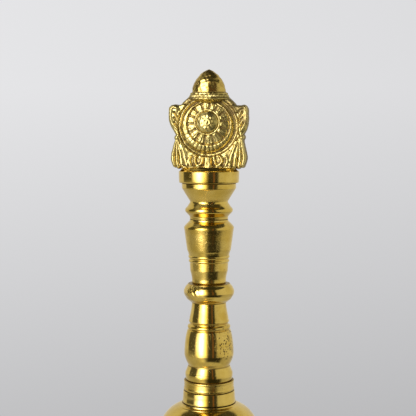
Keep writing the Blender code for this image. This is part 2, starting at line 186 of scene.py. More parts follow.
# ---- implicit bodies
def surface_of(values, corner, cell):
    """Vertices and quads of the zero surface of a field on a grid, negative inside."""
    inside = values < 0
    across, deep = values.shape[1:]
    strides = np.array([across * deep, deep, 1])
    flat = values.ravel()
    cells, points, quads = [], [], []
    for axis in range(3):
        at = np.argwhere(np.diff(inside, axis=axis))
        ids = at @ strides
        first, second = flat[ids], flat[ids + strides[axis]]
        where = at.astype(float)
        where[:, axis] += first / (first - second)
        u, v = (axis + 1) % 3, (axis + 2) % 3
        around = [ids, ids - strides[u], ids - strides[u] - strides[v], ids - strides[v]]
        cells += around
        points += [where] * len(around)
        quad = np.stack(around, axis=1)
        flip = first > 0
        quad[flip] = quad[flip][:, ::-1]
        quads.append(quad)
    points = np.concatenate(points)
    used, inverse = np.unique(np.concatenate(cells), return_inverse=True)
    total = np.bincount(inverse)
    verts = np.stack([np.bincount(inverse, points[:, a]) / total for a in range(3)], axis=1)
    faces = np.searchsorted(used, np.concatenate(quads))
    return np.asarray(corner) + verts * cell, faces


def implicit(name, field, corner, opposite, cell, look, crease=0):
    """The surface of a field of millimetre coordinates inside a box that encloses it."""
    axes = [np.arange(a, b + cell, cell) for a, b in zip(corner, opposite)]
    x, y, z = axes[0][:, None, None], axes[1][None, :, None], axes[2][None, None, :]
    values = np.broadcast_to(field(x, y, z), [len(a) for a in axes]).astype(np.float32)
    verts, faces = surface_of(values, corner, cell)
    return mesh_object(name, verts, faces.tolist(), look, crease)


def smooth_min(a, b, blend):
    """Union of two fields with a fillet of about this size."""
    mix = np.clip(0.5 + 0.5 * (b - a) / blend, 0, 1)
    return b + (a - b) * mix - blend * mix * (1 - mix)


# ---- materials
class Nodes:
    """Short calls that add nodes to one tree and return their output sockets."""

    def __init__(self, tree):
        self.tree = tree

    def add(self, kind, inputs=(), output=0, **settings):
        node = self.tree.nodes.new(kind)
        for key, value in settings.items():
            setattr(node, key, value)
        self.feed(node, inputs)
        return node.outputs[output]

    def feed(self, node, inputs):
        """Link the sockets among a node's new inputs, and set the plain values."""
        for key, value in dict(inputs).items():
            if isinstance(value, bpy.types.NodeSocket):
                self.tree.links.new(value, node.inputs[key])
            else:
                node.inputs[key].default_value = value

    def math(self, operation, first, second=0.0):
        return self.add("ShaderNodeMath", {0: first, 1: second}, operation=operation)

    def times(self, first, second):
        return self.math("MULTIPLY", first, second)

    def fold(self, operation, values):
        """All the values brought together by one operation, such as MAXIMUM."""
        return functools.reduce(functools.partial(self.math, operation), values)

    def vector(self, operation, first, second=(0, 0, 0), output=0):
        return self.add("ShaderNodeVectorMath", {0: first, 1: second}, output,
                        operation=operation)

    def slanted(self, place, tilt, stretch):
        """Places turned by tilt about Y and then stretched, for marks on the slant."""
        inputs = {"Vector": place, "Angle": tilt}
        tilted = self.add("ShaderNodeVectorRotate", inputs, rotation_type="Y_AXIS")
        return self.vector("MULTIPLY", tilted, stretch)

    def coordinate(self, place, axis):
        return self.add("ShaderNodeSeparateXYZ", {0: place}, output=axis)

    def noise(self, place, scale, detail=3.0, rough=0.55):
        return self.add("ShaderNodeTexNoise", {
            "Vector": place, "Scale": scale, "Detail": detail, "Roughness": rough})

    def span(self, value, start, end, to_start=0.0, to_end=1.0, smooth=True):
        """A value that runs from to_start to to_end while the given one crosses a range."""
        kind = "SMOOTHSTEP" if smooth else "LINEAR"
        return self.add("ShaderNodeMapRange", {
            "Value": value, "From Min": start, "From Max": end, "To Min": to_start,
            "To Max": to_end}, interpolation_type=kind)

    def add_where(self, value, mask, amount):
        """A value with this amount added where the mask is 1."""
        return self.math("ADD", value, self.times(mask, amount))

    def tint_where(self, color, mask, share, tint):
        """A colour that takes this share of a tint where the mask is 1."""
        return self.mix(self.times(mask, share), color, tint)

    def mix(self, factor, first, second, blend="MIX"):
        return self.add("ShaderNodeMix", {0: factor, 6: first, 7: second}, 2,
                        data_type="RGBA", blend_type=blend)

    def bump(self, height, strength, depth, normal=None):
        inputs = {"Height": height, "Strength": strength, "Distance": depth * MM}
        if normal is not None:
            inputs["Normal"] = normal
        return self.add("ShaderNodeBump", inputs)


def new_material(name):
    """A material, its helper, its Principled shader, and object coordinates in millimetres."""
    made = bpy.data.materials.new(name)
    made.use_nodes = True
    nodes = Nodes(made.node_tree)
    shader = made.node_tree.nodes["Principled BSDF"]
    here = nodes.add("ShaderNodeTexCoord", output=3)
    mm = nodes.add("ShaderNodeVectorMath", {0: here, "Scale": 1 / MM}, operation="SCALE")
    return made, nodes, shader, mm


def finish_metal(nodes, shader, color, rough, normal):
    nodes.feed(shader, {
        "Metallic": 1.0, "Base Color": color, "Roughness": rough, "Normal": normal})


BRASS_LIGHT = (0.77, 0.545, 0.125, 1)
BRASS_DEEP = (0.64, 0.425, 0.070, 1)
CAST_LIGHT = (0.66, 0.525, 0.165, 1)
CAST_DEEP = (0.52, 0.405, 0.11, 1)
TARNISH = (0.30, 0.17, 0.045, 1)
# colour of the patina in the hollows, also used to paint shade on the head's sides
PATINA_AND_SHADE = (0.13, 0.078, 0.030, 1)
GRIME = (0.085, 0.045, 0.018, 1)
STEEL = (0.46, 0.45, 0.43, 1)
RUST = (0.24, 0.14, 0.08, 1)
FLOOR = (0.655, 0.66, 0.61, 1)


def turned_brass(name, smooth, satin, lines=0.3, spots=0.35, matt_zones=(), pitted=None,
                 dented=None):
    """Lathe-turned brass: tool marks, buffing haze, hairline scratches and faint tarnish.

    Its roughness runs from smooth to satin. matt_zones are (start, end, added roughness)
    stretches left straight from the file; pitted and dented are (centre, reach) places of
    casting pits and of knocks.
    """
    made, nodes, shader, mm = new_material(name)
    rings = nodes.vector("MULTIPLY", mm, (0.12, 0.12, 1.0))
    cloud = nodes.noise(mm, 0.22, 4.0)
    haze = nodes.noise(rings, 2.2, 5.0, 0.65)
    marks = nodes.noise(rings, 7.0, 2.0, 0.6)
    grain = nodes.noise(mm, 3.2, 3.0, 0.6)
    color = nodes.mix(nodes.span(cloud, 0.35, 0.68), BRASS_LIGHT, BRASS_DEEP)
    speck = nodes.span(nodes.noise(mm, 1.1, 5.0, 0.7), 0.60, 0.74)
    color = nodes.tint_where(color, speck, spots, TARNISH)
    rough = nodes.span(haze, 0.32, 0.72, smooth, satin)
    rough = nodes.add_where(rough, speck, 0.10)
    height = nodes.coordinate(mm, 2)
    normal = nodes.bump(marks, lines, 0.010)
    normal = nodes.bump(grain, 0.25, 0.008, normal)
    if matt_zones:
        zones = [height_zone(nodes, height, start, end) for start, end, extra in matt_zones]
        for zone, (start, end, extra) in zip(zones, matt_zones):
            rough = nodes.add_where(rough, zone, extra)
        filed = nodes.noise(nodes.vector("MULTIPLY", mm, (0.8, 0.8, 1.8)), 1.7, 4.0, 0.6)
        filed = nodes.times(filed, nodes.fold("MAXIMUM", zones))
        normal = nodes.bump(filed, 0.7, 0.045, normal)
    seams = nodes.fold("MINIMUM", [
        nodes.math("ABSOLUTE", nodes.math("SUBTRACT", height, base - SEAM / 2))
        for base in BASE.values()])
    grime = nodes.span(seams, 0.06, 0.20, 0.6, 0.0)
    color = nodes.mix(grime, color, GRIME)
    rough = nodes.add_where(rough, grime, 0.4)
    scratches = hairlines(nodes, mm)
    color = nodes.tint_where(color, scratches, 0.35, TARNISH)
    normal = nodes.bump(nodes.math("SUBTRACT", 1.0, scratches), 0.5, 0.02, normal)
    if dented:
        normal = nodes.bump(dent_height(nodes, mm, dented), 1.0, 0.22, normal)
    if pitted:
        pits = pit_mask(nodes, mm, pitted)
        color = nodes.tint_where(color, pits, 0.85, GRIME)
        rough = nodes.add_where(rough, pits, 0.3)
        normal = nodes.bump(nodes.math("SUBTRACT", 1.0, pits), 1.0, 0.08, normal)
    finish_metal(nodes, shader, color, rough, normal)
    return made


def height_zone(nodes, height, start, end, fade=0.15):
    """1 between two heights, 0 outside them."""
    above = nodes.span(height, start - fade, start + fade)
    below = nodes.span(height, end - fade, end + fade, 1.0, 0.0)
    return nodes.times(above, below)


def near_place(nodes, mm, centre, reach):
    """1 near a place on the surface, 0 beyond its reach."""
    away = nodes.vector("DISTANCE", mm, centre, output=1)
    return nodes.span(away, reach * 0.6, reach, 1.0, 0.0)


def hairlines(nodes, mm):
    """Fine straight scratches in two directions, where handling has left them."""
    drawn = [nodes.slanted(mm, tilt, (4.0, 4.0, 0.16)) for tilt in (0.5, -0.75)]
    return nodes.fold("MAXIMUM", [nodes.span(nodes.noise(place, 1.0, 1.0), 0.71, 0.76)
                                  for place in drawn])


def dent_height(nodes, mm, centre_and_reach):
    """Knocks in the metal: stretched cells with raised edges round one place."""
    cells = nodes.add("ShaderNodeTexVoronoi", {
        "Vector": nodes.slanted(mm, 0.8, (1.3, 1.3, 0.6)), "Scale": 0.9})
    return nodes.times(cells, near_place(nodes, mm, *centre_and_reach))


def pit_mask(nodes, mm, centre_and_reach):
    """Small casting pits, gathered round one place on the surface."""
    cells = nodes.add("ShaderNodeTexVoronoi", {"Vector": mm, "Scale": 1.5})
    size = nodes.noise(mm, 1.2, 2.0)
    hole = nodes.math("SUBTRACT", nodes.span(size, 0.40, 0.62, 0.10, 0.50), cells)
    hole = nodes.span(hole, 0.0, 0.12)
    return nodes.times(hole, near_place(nodes, mm, *centre_and_reach))


# places on the cast head darkened in patches with the patina colour: (x, y, height over the
# finial's base, reach)
DARK_PATCHES = ((8.0, -3.5, 24.3, 4.6), (-6.4, -3.5, 25.6, 2.6), (12.4, -2.0, 19.5, 3.0))


def cast_brass(name):
    """Cast and lightly buffed brass: skin of fine grain, with patina left in the recesses, painted
    shade on the sides that face neither front nor back, and darker patches in places.
    """
    made, nodes, shader, mm = new_material(name)
    recess = nodes.add("ShaderNodeAttribute", output=2, attribute_name="recess")
    cloud = nodes.noise(mm, 0.35, 4.0)
    grain = nodes.noise(mm, 2.2, 4.0, 0.65)
    fine = nodes.noise(mm, 7.0, 2.0, 0.6)
    color = nodes.mix(nodes.span(cloud, 0.38, 0.66), CAST_LIGHT, CAST_DEEP)
    patina_and_side_shade = nodes.add_where(recess, nodes.math("SUBTRACT", grain, 0.5), 0.5)
    patina_and_side_shade = nodes.span(patina_and_side_shade, 0.18, 0.85)
    # painted shade: where the surface turns away from front and back, on the outline's walls and
    # the crown's flanks, it is darkened, less so on the crown's top
    facing = nodes.coordinate(nodes.add("ShaderNodeTexCoord", output=1), 1)
    side = nodes.span(nodes.math("ABSOLUTE", facing), 0.10, 0.55, 0.90, 0.0)
    height = nodes.coordinate(mm, 2)
    below_crown = nodes.span(height, FINIAL_Z + 27.5, FINIAL_Z + 28.5, 1.0, 0.35)
    patchy = nodes.span(nodes.noise(mm, 0.9, 3.0, 0.6), 0.36, 0.60, 0.30, 0.85)
    dark_patches = [nodes.times(near_place(nodes, mm, (x, y, FINIAL_Z + z), reach), patchy)
              for x, y, z, reach in DARK_PATCHES]
    # patina in the recesses, painted shade on the sides and the darker patches, all tinted in
    # together
    patina_and_side_shade = nodes.fold("MAXIMUM", [patina_and_side_shade, nodes.times(side, below_crown)] + dark_patches)
    color = nodes.tint_where(color, patina_and_side_shade, 0.85, PATINA_AND_SHADE)
    rough = nodes.span(cloud, 0.3, 0.7, 0.25, 0.36)
    rough = nodes.add_where(rough, patina_and_side_shade, 0.25)
    on_crown = nodes.span(height, FINIAL_Z + 27.2, FINIAL_Z + 28.4)
    worn = nodes.span(nodes.noise(mm, 0.6, 3.0, 0.6), 0.40, 0.60)
    dull = nodes.times(on_crown, worn)
    color = nodes.tint_where(color, on_crown, 0.6, BRASS_DEEP)
    color = nodes.tint_where(color, dull, 0.45, TARNISH)
    rough = nodes.add_where(rough, dull, 0.10)
    rough = nodes.add_where(rough, on_crown, -0.14)
    normal = nodes.bump(grain, 0.7, 0.06)
    normal = nodes.bump(fine, 0.4, 0.012, normal)
    finish_metal(nodes, shader, color, rough, normal)
    return made


def plain_steel(name):
    """Drawn steel bar and wire with a little grease and rust bloom."""
    made, nodes, shader, mm = new_material(name)
    draw = nodes.noise(nodes.vector("MULTIPLY", mm, (6.0, 6.0, 0.6)), 1.0, 3.0)
    bloom = nodes.span(nodes.noise(mm, 0.9, 5.0, 0.7), 0.55, 0.75)
    color = nodes.tint_where(STEEL, bloom, 0.55, RUST)
    rough = nodes.add_where(nodes.span(draw, 0.3, 0.7, 0.24, 0.38), bloom, 0.25)
    finish_metal(nodes, shader, color, rough, nodes.bump(draw, 0.4, 0.012))
    return made


# ---- handle sections
def put(piece, body, node):
    """Hang a piece on its body and hide the CAD node that it stands for."""
    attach(piece, body)
    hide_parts(node)


def section(node, look, seed, outer_up_to, **options):
    """A bored section of the handle, up to the seam under the next one.

    outer_up_to gives its outer side for the height of its top; both are above its own base.
    """
    top = BASE[STACK[STACK.index(node) + 1]] - BASE[node] - SEAM
    outer = outer_up_to(top)
    outline = outer + [(SPIGOT_R, top), (SPIGOT_R, top + SPIGOT_RISE),
                       (BORE_R, top + SPIGOT_RISE), (BORE_R, RECESS_RISE),
                       (RECESS_R, RECESS_RISE), (RECESS_R, outer[0][1])]
    piece = turned(node + "_turned", outline, look, BASE[node], seed=seed, **options)
    put(piece, "bell", node)


BARREL_MATT = (0.3, 6.5), (9.2, 17.2)  # stretches of the upper barrel, above its base


def make_handle():
    dent_place = (-5.0, -5.9, BASE["knop"] + 3.5)
    pit_place = (6.75, -3.0, BASE["lower_barrel"] + 7.5)
    barrel_z, cone_z = BASE["upper_barrel"], BASE["capital"]
    barrel_zones = [(barrel_z + start, barrel_z + end, 0.03) for start, end in BARREL_MATT]
    cone_zone = (cone_z + 5.7, cone_z + 9.5, 0.14)
    polished = turned_brass("brass_polished", 0.07, 0.16, lines=0.22)
    knocked = turned_brass("brass_knocked", 0.08, 0.18, 0.25, 0.6, dented=(dent_place, 3.6))
    satin_ringed = turned_brass("brass_satin_ringed", 0.20, 0.32, lines=0.7, spots=0.5)
    satin = turned_brass("brass_satin", 0.09, 0.20, 0.4, 0.5, matt_zones=barrel_zones)
    cone = turned_brass("brass_cone", 0.08, 0.18, 0.4, 0.4, matt_zones=(cone_zone,))
    pitted = turned_brass("brass_pitted", 0.07, 0.17, 0.25, pitted=(pit_place, 6.8))

    section("base_collar", polished, 11, lambda top: [
        (8.05, 0.05), (8.33, 0.2, 0.03), (8.35, 0.6), (8.16, 2.6, -0.04), (8.08, top - 0.35),
        (7.9, top, 0.05)])
    section("ferrule_lower", satin_ringed, 12, lambda top: [
        (7.6, 0.0), (7.88, 0.15, 0.04), (7.92, 0.6), (7.8, 0.85, -0.02), (7.78, 2.5),
        (7.84, 2.75, -0.02), (7.86, top - 0.2), (7.6, top, 0.05)])
    section("ferrule_upper", polished, 13, lambda top: [
        (7.1, 0.0), (7.3, 0.25, 0.04), (7.4, 0.9), (7.46, 1.5, 0.02), (7.44, 2.2, 0.02),
        (7.34, 2.45, 0.03), (6.55, 4.45, 0.02), (6.4, 4.75, 0.02), (6.38, top)])
    section("lower_barrel", pitted, 14, lambda top: [
        (6.35, 0.0), (6.6, 0.35, 0.05), (7.72, 3.2, 0.12), (7.74, 4.6, 0.03), (7.36, 8.8, 0.06),
        (6.78, 11.2, 0.04), (6.62, 11.36), (6.42, 11.5, -0.04), (6.42, 11.6), (6.5, 12.75, 0.28),
        (6.22, 12.95), (6.02, 13.3, -0.06), (6.08, 13.5), (6.28, 14.25, 0.10), (6.12, 14.5),
        (6.1, 15.1), (5.42, 18.9, -0.06), (5.36, top)])
    section("knop", knocked, 15, lambda top: [
        (5.5, 0.0), (6.1, 0.5, 0.08), (7.35, 1.8, 0.18), (7.9, 3.15, 0.12), (7.6, 4.4, 0.12),
        (6.75, top - 0.35, 0.10), (6.6, top - 0.1, 0.02), (6.35, top)], ripple=0.014)
    section("upper_barrel", satin, 16, lambda top: [
        (5.2, 0.0), (5.32, 0.15), (5.35, 1.4), (5.9, 3.9, -0.06), (6.04, 6.5), (6.12, 6.58),
        (6.32, 7.25, 0.13), (6.12, 7.45), (6.14, 7.75), (6.44, 8.55, 0.14), (6.3, 8.72),
        (6.44, 9.3), (6.82, 10.3, -0.03), (7.54, 15.6, 0.03), (7.80, 17.3), (7.74, 17.6, 0.02),
        (7.42, 18.1), (6.4, 19.15), (6.1, 19.45, -0.04), (6.0, 19.7), (5.95, top)], ripple=0.010)
    section("capital", cone, 17, lambda top: [
        (5.9, 0.0), (5.98, 0.12), (6.0, 0.7), (6.25, 1.1, -0.03), (7.1, 2.0), (7.4, 2.45, 0.04),
        (7.44, 2.85, 0.02), (7.15, 3.5, 0.07), (6.3, 4.6, -0.05), (5.98, 5.1), (5.95, 5.6),
        (8.28, 9.4), (8.42, 9.6, 0.03), (8.44, top - 0.12), (8.3, top)])
    outline = [
        (0, HOLE_TOP), (BORE_R, HOLE_TOP), (BORE_R, RECESS_RISE), (RECESS_R, RECESS_RISE),
        (RECESS_R, 0.05), (9.0, 0.05), (9.28, 0.2, 0.04), (9.36, 1.4), (9.4, 3.4),
        (9.25, 3.7, 0.05), (8.4, 4.5, -0.1), (7.9, 4.95), (3.4, 5.1), (3.2, 7.0), (0, 7.2)]
    band = turned("finial_band", outline, polished, FINIAL_Z, seed=18)
    put(band, "bell", "finial")


# ---- finial head
# The head's own heights start at the finial's base, and its relief is a half depth over (x, z).
HEAD_BOX = ((-13.2, -6.1, 3.2), (13.2, 6.1, 35.4))
WHEEL_Z = 17.6
DISC_R, LOWER_DISC_R = 10.6, 10.2  # disc behind the wheel, above and below its centre
SLOPE_R = 10.7  # the slope round the wheel ends here
# plates behind the rest, each (half width, middle height, half height)
FOOT_PLATE, RIBBON_PLATE = (8.3, 9.0, 5.4), (9.2, 8.7, 3.7)
# circles of the wheel, each (sideways place, height, radius)
BORDER = (0.05, 17.45, 8.78)  # raised ring round the whole wheel
RIM_OUT = (-0.3, 17.2, 7.85)  # the row of blocks lies between these two
RIM_IN = (0.12, 18.25, 6.65)
HUB_RING = (-0.2, 18.7, 3.80)
HUB_R = 3.42  # of the dome in the ring
PETALS, PETAL_TURN, PETAL_ROOT = 14, math.radians(-5), 4.0
RIM_BLOCKS, CRISPEST_TURN = 33, math.radians(150)
DOMING = 42.0  # the wheel's face falls by radius squared over this
SKEW, WAIST_SKEW, SKEW_Z, SKEW_REACH = 0.1, 0.4, 15.5, 2.5  # both sides lean towards +X
# half depths of the plain faces, to which BODY is added everywhere
GROUND, BORDER_OUTSIDE, BORDER_INSIDE, RIM_FACE, PETAL_GAP = 2.6, 3.2, 2.9, 3.1, 2.55
HUB_RING_FACE, HUB_FACE, FLAME_FACE, STRAND_FACE = 3.0, 3.3, 2.3, 2.1
BODY = 0.75
EDGE = 0.75  # rounding of the head's outline
SIDE_CROWN = 0.015  # its sides fall back by this much times y squared
SEAM_RIDGE = 0.10  # what filing left of the casting seam
FRONT_TO_BACK = 0.80  # the crown's depth over its width
SOFTENING = 0.12  # reach over which wear has evened the relief out


def smooth_path(points, steps=6):
    """Points of a Catmull-Rom curve through the given ones, each (x, z, half width)."""
    points = np.array(points, float)
    ends = np.vstack([2 * points[0] - points[1], points, 2 * points[-1] - points[-2]])
    out = [points[0]]
    for a, b, c, d in zip(ends, ends[1:], ends[2:], ends[3:]):
        for k in range(1, steps + 1):
            t = k / steps
            out.append(0.5 * (2 * b + (c - a) * t + (2 * a - 5 * b + 4 * c - d) * t * t
                              + (3 * b - a - 3 * c + d) * t ** 3))
    return np.array(out)


def stroke(x, z, points):
    """Distance outside a tapering stroke, and distance over its half width, at each place."""
    path = smooth_path(points)
    outside = np.full(x.shape, np.inf)
    relative = np.full(x.shape, np.inf)
    for (ax, az, aw), (bx, bz, bw) in zip(path, path[1:]):
        span = max((bx - ax) ** 2 + (bz - az) ** 2, 1e-9)
        t = np.clip(((x - ax) * (bx - ax) + (z - az) * (bz - az)) / span, 0, 1)
        away = np.hypot(x - ax - t * (bx - ax), z - az - t * (bz - az))
        half = aw + (bw - aw) * t
        outside = np.minimum(outside, away - half)
        relative = np.minimum(relative, away / half)
    return outside, relative


def ridge(relative):
    """Round section of a stroke, 1 on its line and 0 at its edge."""
    return np.sqrt(np.clip(1 - relative ** 2, 0, 1))


FLAME = [(9.6, 15.0, 0.9), (10.3, 17.4, 1.5), (10.75, 19.8, 1.65), (10.7, 22.4, 1.7)]
FLAME_ROOT = [(7.6, 22.6, 1.5), (9.2, 22.8, 1.2), (10.6, 22.8, 1.3)]
FLAME_EDGE = [
    (9.5, 16.0, 0.3), (11.2, 18.4, 0.34), (11.75, 20.8, 0.36), (11.4, 22.8, 0.34),
    (10.6, 23.4, 0.32), (9.6, 22.9, 0.30)]
FLAME_VEINS = [
    [(9.7, 17.2, 0.24), (10.5, 18.7, 0.28)], [(9.5, 18.7, 0.24), (10.5, 20.2, 0.30)],
    [(9.5, 20.2, 0.24), (10.5, 21.8, 0.30)]]
STRANDS = [
    [(9.8, 14.2, 0.5), (10.5, 10.8, 0.70), (10.95, 7.8, 0.84), (10.4, 5.5, 0.76)],
    [(9.6, 14.2, 0.5), (9.7, 10.6, 0.70), (9.7, 7.4, 0.80), (9.25, 5.0, 0.68)],
    [(9.5, 14.0, 0.45), (8.95, 10.6, 0.66), (8.4, 7.6, 0.76), (8.0, 5.0, 0.66)],
    [(9.2, 13.8, 0.4), (8.0, 10.9, 0.58), (7.1, 8.0, 0.70), (6.6, 5.7, 0.60)]]
KNOT = (9.9, 14.0, 1.0)
SCROLL = [
    (1.9, 9.0, 0.35), (1.8, 7.4, 0.44), (2.3, 5.95, 0.44), (3.4, 5.65, 0.44), (4.15, 6.7, 0.44),
    (3.95, 8.0, 0.40), (3.35, 8.4, 0.30)]
LEAF = [(5.3, 5.2, 0.45), (5.9, 6.9, 0.50), (5.4, 8.4, 0.30)]
PILLAR = [(0, 5.5, 1.35), (0, 7.2, 1.15), (0, 8.9, 1.35)]
CAP = [(-2.2, 9.35, 0.40), (2.2, 9.35, 0.40)]
LEDGE = [(-7.6, 4.95, 0.42), (7.6, 4.95, 0.42)]


def beyond(x, z, circle):
    """Distance outside a circle given as (sideways place, height, radius)."""
    return np.hypot(x - circle[0], z - circle[1]) - circle[2]


def beyond_plate(x, z, plate):
    """Distance outside a plate given as (half width, middle height, half height)."""
    return np.maximum(np.abs(x) - plate[0], np.abs(z - plate[1]) - plate[2])


def raised_line(away, rise, half):
    """A line of round section, by the distance away from its middle."""
    return rise * ridge(away / half)


def soft_line(away, rise, half):
    """The same with sides that fade out."""
    return rise * np.exp(-(away / half) ** 2)


def wheel_relief(x, z):
    """Half depth of the wheel, from the sloped outer zone in to the hub."""
    border = beyond(x, z, BORDER)
    fall = np.clip(border - 0.3, 0, 2) * 0.9
    depth = np.where(border > 0, BORDER_OUTSIDE - fall, BORDER_INSIDE)
    depth += raised_line(border, rise=0.58, half=0.42)
    outer, inner = beyond(x, z, RIM_OUT), beyond(x, z, RIM_IN)
    on_rim = (outer < 0) & (inner > 0)
    across = np.clip(inner / np.maximum(inner - outer, 1e-6), 0, 1) * 2 - 1
    angle = np.arctan2(x, z - RIM_OUT[1])
    along = 2 * np.mod(angle * RIM_BLOCKS / math.tau, 1) - 1
    crisp = 0.55 + 0.45 * np.cos(angle - CRISPEST_TURN)
    block = (1 - np.abs(across) ** 4) * (1 - crisp * np.abs(along) ** 6)
    rim = RIM_FACE + 0.62 * np.sqrt(np.clip(block, 0, 1))
    rim += soft_line(across + 0.85, rise=0.14, half=0.15)
    depth = np.where(on_rim, rim, depth)
    depth = np.where(inner <= 0, petal_relief(x, z), depth)
    return depth - (x ** 2 + (z - WHEEL_Z) ** 2) / DOMING


def petal_relief(x, z):
    """Half depth inside the block rim: petals with raised edges and a rib, a ring, the hub."""
    x = x - HUB_RING[0]
    out = np.hypot(x, z - HUB_RING[1])
    pitch = math.tau / PETALS
    turn = np.arctan2(x, z - HUB_RING[1]) - PETAL_TURN
    off = (np.mod(turn / pitch + 0.5, 1) - 0.5) * pitch
    aside = out * np.abs(np.sin(off))
    half = out * math.sin(pitch / 2) - 0.18
    tip = -beyond(x + HUB_RING[0], z, RIM_IN) - 0.12 - 0.55 * np.clip(aside / half, 0, 1) ** 4
    within = np.minimum(tip, out - PETAL_ROOT)
    edge = np.minimum(half - aside, within)
    depth = PETAL_GAP + 0.73 * np.clip(edge / 0.22, 0, 1)
    depth += soft_line(edge - 0.27, rise=0.20, half=0.13)
    depth += soft_line(aside, rise=0.22, half=0.17) * np.clip((within - 0.35) * 4, 0, 1)
    hub_ring = HUB_RING_FACE + raised_line(out - HUB_RING[2], rise=0.5, half=0.26)
    depth = np.maximum(depth, hub_ring)
    dome = HUB_FACE + raised_line(out, rise=1.15, half=3.5)
    flower = np.abs(np.sin(turn * 5)) ** 0.6 * np.clip(1 - np.abs(out - 1.9) / 0.75, 0, 1)
    dome += 0.20 * flower + soft_line(out - 0.98, rise=0.17, half=0.17)
    dome += raised_line(out, rise=0.20, half=0.5)
    return np.where(out < HUB_R, dome, depth)


def head_relief(x, z):
    """Half depth of the head at each place, and distance outside its outline."""
    from_centre = np.hypot(x, z - WHEEL_Z)
    outline = from_centre - np.where(z > WHEEL_Z, DISC_R, LOWER_DISC_R)
    for plate in (FOOT_PLATE, RIBBON_PLATE):
        outline = np.minimum(outline, beyond_plate(x, z, plate))
    depth = np.full(x.shape, GROUND)

    side = np.abs(x - SKEW - soft_line(z - SKEW_Z, rise=WAIST_SKEW, half=SKEW_REACH))
    flame, fullness = stroke(side, z, FLAME)
    flame = np.minimum(flame, stroke(side, z, FLAME_ROOT)[0]) + np.where(x > 0, 0.2, 0.0)
    sloped = FLAME_FACE + 0.2 * ridge(fullness * 0.9) - 0.10 * (side - 10)
    depth = np.where(flame < 0.3, sloped, depth)
    depth += 0.35 * ridge(stroke(side, z, FLAME_EDGE)[1])
    depth -= 0.5 * np.maximum.reduce([ridge(stroke(side, z, vein)[1]) for vein in FLAME_VEINS])
    strands = np.zeros(x.shape)
    for strand in STRANDS:
        edge, fullness = stroke(side, z, strand)
        outline = np.minimum(outline, edge)
        strands = np.maximum(strands, ridge(fullness))
    knot = np.hypot(side - KNOT[0], z - KNOT[1])
    strands = np.maximum(strands, ridge(knot / KNOT[2]) * 1.2)
    outward = np.where(x < 0, 0.0, 0.06) * (side - 9)
    depth = np.where(strands > 0, STRAND_FACE + 0.85 * strands ** 0.7 - outward, depth)
    outline = np.minimum(np.minimum(outline, flame), knot - KNOT[2])

    for mark, rise in ((SCROLL, 0.7), (LEAF, 0.5)):
        depth += rise * ridge(stroke(side, z, mark)[1])
    for mark, rise in ((PILLAR, 1.2), (CAP, 1.1), (LEDGE, 0.9)):
        fullness = stroke(x, z, mark)[1]
        raised = GROUND + rise * np.clip((1 - fullness) / 0.4, 0, 1) ** 0.5
        depth = np.where(fullness < 1, np.maximum(depth, raised), depth)
    in_wheel = beyond(x, z, BORDER) < 0.5
    wheel = wheel_relief(x, z)
    on_slope = (from_centre < SLOPE_R) & ~in_wheel & (strands <= 0) & (flame > 0)
    over_foot = z < 13
    slope = np.maximum(wheel, np.where(over_foot, 2.45, 1.8))
    depth = np.where(on_slope, np.maximum(slope, depth * over_foot), depth)
    return soften(np.where(in_wheel, wheel, depth), SOFTENING) + BODY, outline


def soften(values, reach):
    """Even a 2-D relief out over about this many millimetres, as worn casting is."""
    for _ in range(max(1, round((reach / CELL) ** 2 * 3))):
        around = np.pad(values, 1, mode="edge")
        values = (around[1:-1, 1:-1] * 2 + around[:-2, 1:-1] + around[2:, 1:-1]
                  + around[1:-1, :-2] + around[1:-1, 2:]) / 6
    return values


CROWN = [
    (3.6, 24.3), (5.9, 25.45, -0.1), (6.2, 25.55), (6.45, 25.75, 0.03), (6.42, 26.1, 0.05),
    (5.95, 26.25), (5.65, 27.2), (5.76, 27.35, 0.04), (5.66, 27.65, 0.04), (5.25, 27.8),
    (5.14, 28.0), (5.1, 29.0, 0.03), (0.0, 35.0, 1.0)]
CROWN_BEADS = (26.72, 0.46, 0.28, 30)  # height, half height, rise, beads in half a turn


def crown_field(x, y, z):
    """Pointed dome on a flared collar with a row of beads."""
    outline = trace(CROWN)
    radius = np.interp(z, outline[:, 1], outline[:, 0])
    steep = np.gradient(outline[:, 0], outline[:, 1] + np.arange(len(outline)) * 1e-6)
    steep = np.interp(z, outline[:, 1], np.clip(np.abs(steep), 0, 2.5))
    middle, half, rise, beads = CROWN_BEADS
    turn = np.mod(np.arctan2(x, y / FRONT_TO_BACK) * beads / math.pi, 1) * 2 - 1
    bead = ridge((z - middle) / half) * np.sqrt(np.clip(1 - turn ** 2, 0, 1))
    # shallow hammered faces
    facets = (0.055 * np.sin(x * 1.3 + z * 0.8 + 1.0) * np.sin(x * 0.7 - z * 1.6 + 0.4)
              + 0.03 * np.sin(x * 3.1 - z * 2.3) * np.sin(x * 2.2 + z * 2.9 + y))
    away = np.hypot(x, y / FRONT_TO_BACK) - radius - rise * bead - facets
    below, above = outline[0, 1] - z, z - outline[-1, 1]
    return np.maximum(np.maximum(away / np.sqrt(1 + steep ** 2), below), above)


def cast_skin(x, y, z):
    """Unevenness of a sand casting, a few hundredths of a millimetre."""
    rng = np.random.default_rng(5)
    total = 0.0
    for _ in range(12):
        wave = rng.normal(size=3) * rng.uniform(0.5, 3.6)
        total = total + np.sin(x * wave[0] + y * wave[1] + z * wave[2] + rng.uniform(0, 6))
    return total * 0.015


